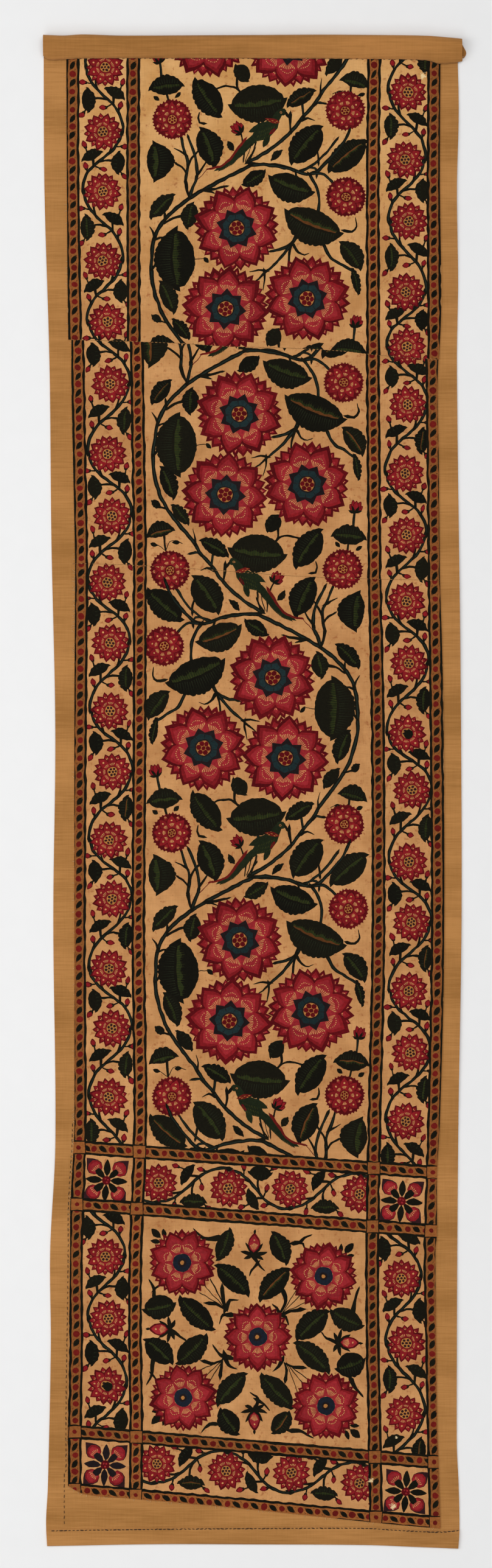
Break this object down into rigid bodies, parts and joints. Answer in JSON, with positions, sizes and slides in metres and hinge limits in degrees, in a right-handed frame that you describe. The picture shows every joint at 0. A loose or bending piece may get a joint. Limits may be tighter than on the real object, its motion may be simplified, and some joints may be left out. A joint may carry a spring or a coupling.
{
  "type": "kalamkari panel",
  "caption": "Long narrow printed and painted cotton panel on a plain cotton backing, with a heading sleeve for a rod at its top and a turned-up hem at its foot, lying flat and face up.",
  "frame": {"origin": "centre of the panel's outline, on the surface that the panel lies on", "axes": "+X to the right across the face, +Y up the panel to the heading sleeve, +Z out of the face"},
  "size_m": [0.4738, 1.69, 0.0129],
  "materials": {
    "backing_cotton": "matt slubby plain-woven cotton",
    "heading_cotton": "matt slubby plain-woven cotton",
    "printed_cotton": "matt fine cotton, printed and painted"
  },
  "bodies": {
    "root": {"backing": "backing_cotton", "heading_sleeve": "heading_cotton", "printed_top": "printed_cotton", "printed_middle": "printed_cotton", "printed_lower": "printed_cotton"}
  },
  "joints": []
}
